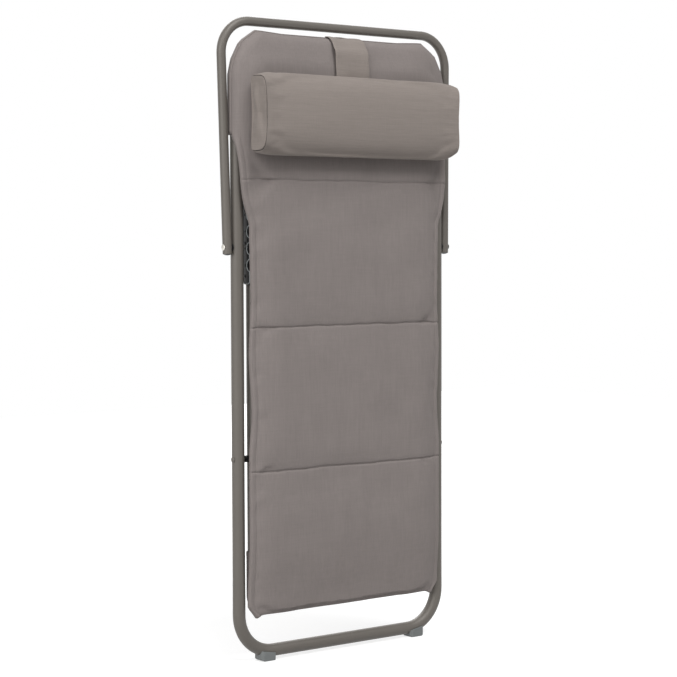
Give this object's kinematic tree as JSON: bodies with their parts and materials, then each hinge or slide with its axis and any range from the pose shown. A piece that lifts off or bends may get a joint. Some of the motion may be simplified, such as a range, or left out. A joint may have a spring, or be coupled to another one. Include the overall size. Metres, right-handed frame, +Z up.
{
  "type": "folding deck chair",
  "caption": "Padded folding deck chair of three bent tube frames, folded flat and upright, with a headrest pillow, notch racks and a swinging prop frame.",
  "frame": {"origin": "centre of the bounding box's bottom face: on the floor between the front feet", "axes": "+Z up with the chair folded and standing, +Y to the chair's back, +X to its right side as seen from the front"},
  "size_m": [0.5776, 0.123, 1.257],
  "materials": {
    "frame_tube": "satin",
    "sling_cloth": "matte",
    "pillow_cloth": "matte",
    "foot_plastic": "matte",
    "rack_plastic": "satin",
    "black_plastic": "matte",
    "black_metal": "satin",
    "rivet_metal": "satin",
    "weight_steel": "satin"
  },
  "bodies": {
    "long_frame_body": {"long_frame": "frame_tube", "front_foot_left": "foot_plastic", "front_foot_right": "foot_plastic", "foot_screws_front": "rivet_metal", "seat_pivot_rivet_left": "frame_tube", "seat_pivot_rivet_right": "frame_tube", "seat_pivot_spacer_left": "black_plastic", "seat_pivot_spacer_right": "black_plastic", "prop_pivot_rivet_left": "rivet_metal", "prop_pivot_rivet_right": "rivet_metal", "prop_pivot_washer_left": "black_plastic", "prop_pivot_washer_right": "black_plastic", "sling_upper": "sling_cloth", "sling_fold": "sling_cloth", "top_pocket_back": "sling_cloth", "pillow_strap": "pillow_cloth"},
    "seat_frame_body": {"seat_frame": "frame_tube", "rear_foot_left": "foot_plastic", "rear_foot_right": "foot_plastic", "foot_screws_rear": "rivet_metal", "rack_left": "rack_plastic", "rack_right": "rack_plastic", "rack_rivets": "black_metal", "sling_lower": "sling_cloth", "bottom_pocket_back": "sling_cloth"},
    "prop_frame_body": {"prop_frame": "frame_tube", "prop_end_cap_left": "black_plastic", "prop_end_cap_right": "black_plastic"},
    "pillow_body": {"headrest_pillow": "pillow_cloth"},
    "counterweight_body": {"counterweight_pouch": "sling_cloth", "counterweight_plate": "weight_steel"}
  },
  "joints": [
    {"name": "seat_fold", "type": "hinge", "parent": "long_frame_body", "child": "seat_frame_body", "pos_m": [0, 0.0225, 0.40095], "axis": [-1, 0, 0], "range_deg": [0, 70], "deforming": ["sling_fold"]},
    {"name": "prop_swing", "type": "hinge", "parent": "long_frame_body", "child": "prop_frame_body", "pos_m": [0, 0.0225, 0.81194], "axis": [-1, 0, 0], "range_deg": [0, 126.4]},
    {"name": "pillow_height", "type": "slide", "parent": "long_frame_body", "child": "pillow_body", "axis": [0, 0, 1], "range_m": [-0.09, 0.04]},
    {"name": "counterweight_height", "type": "slide", "parent": "long_frame_body", "child": "counterweight_body", "axis": [0, 0, 1], "range_m": [-0.04, 0.09]}
  ],
  "couplings": [
    {"joint": "counterweight_height", "follows": "pillow_height", "ratio": -1}
  ]
}
